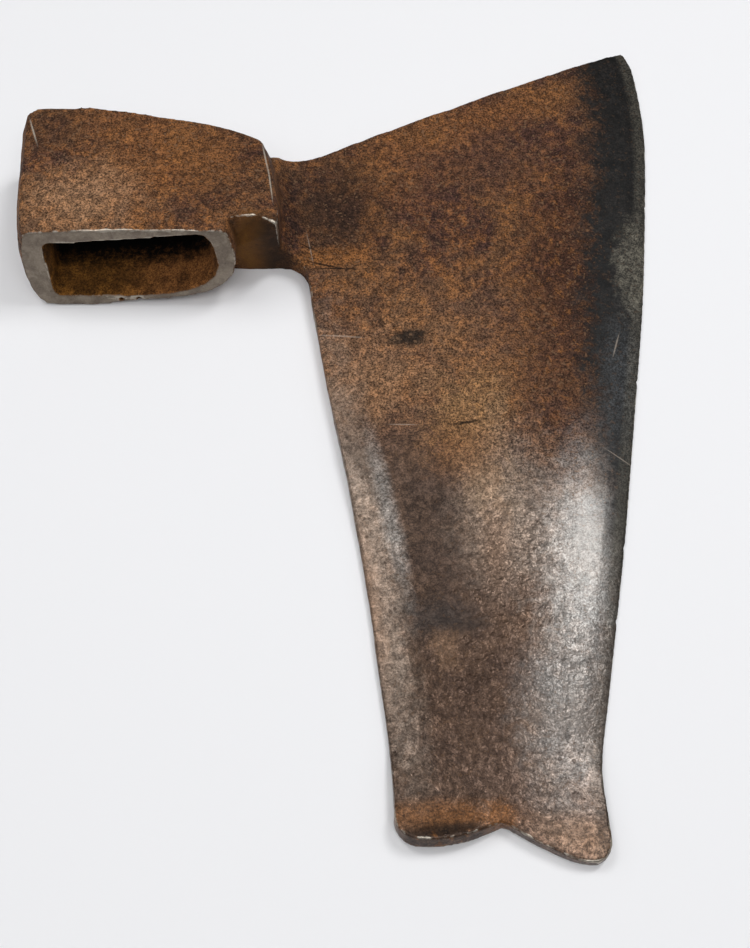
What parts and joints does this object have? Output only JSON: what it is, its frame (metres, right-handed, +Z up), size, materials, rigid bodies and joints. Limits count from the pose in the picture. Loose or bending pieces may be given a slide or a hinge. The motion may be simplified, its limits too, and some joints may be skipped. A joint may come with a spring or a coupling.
{
  "type": "goosewing axe head",
  "caption": "Forged goosewing axe head: long wing-shaped blade flat on its back, with a canted socket to one side for the handle.",
  "frame": {"origin": "centre of the bounding box in X and Y, at the flat back that the head lies on", "axes": "+Y along the cutting edge from the heel to the toe, +X from the poll to the cutting edge, +Z up from the flat back"},
  "size_m": [0.271, 0.3666, 0.0423],
  "materials": {
    "forged_iron": "old forged iron, brown rust and worn bare metal, hammer and pit texture"
  },
  "bodies": {
    "root": {"axe_head": "forged_iron"}
  },
  "joints": []
}
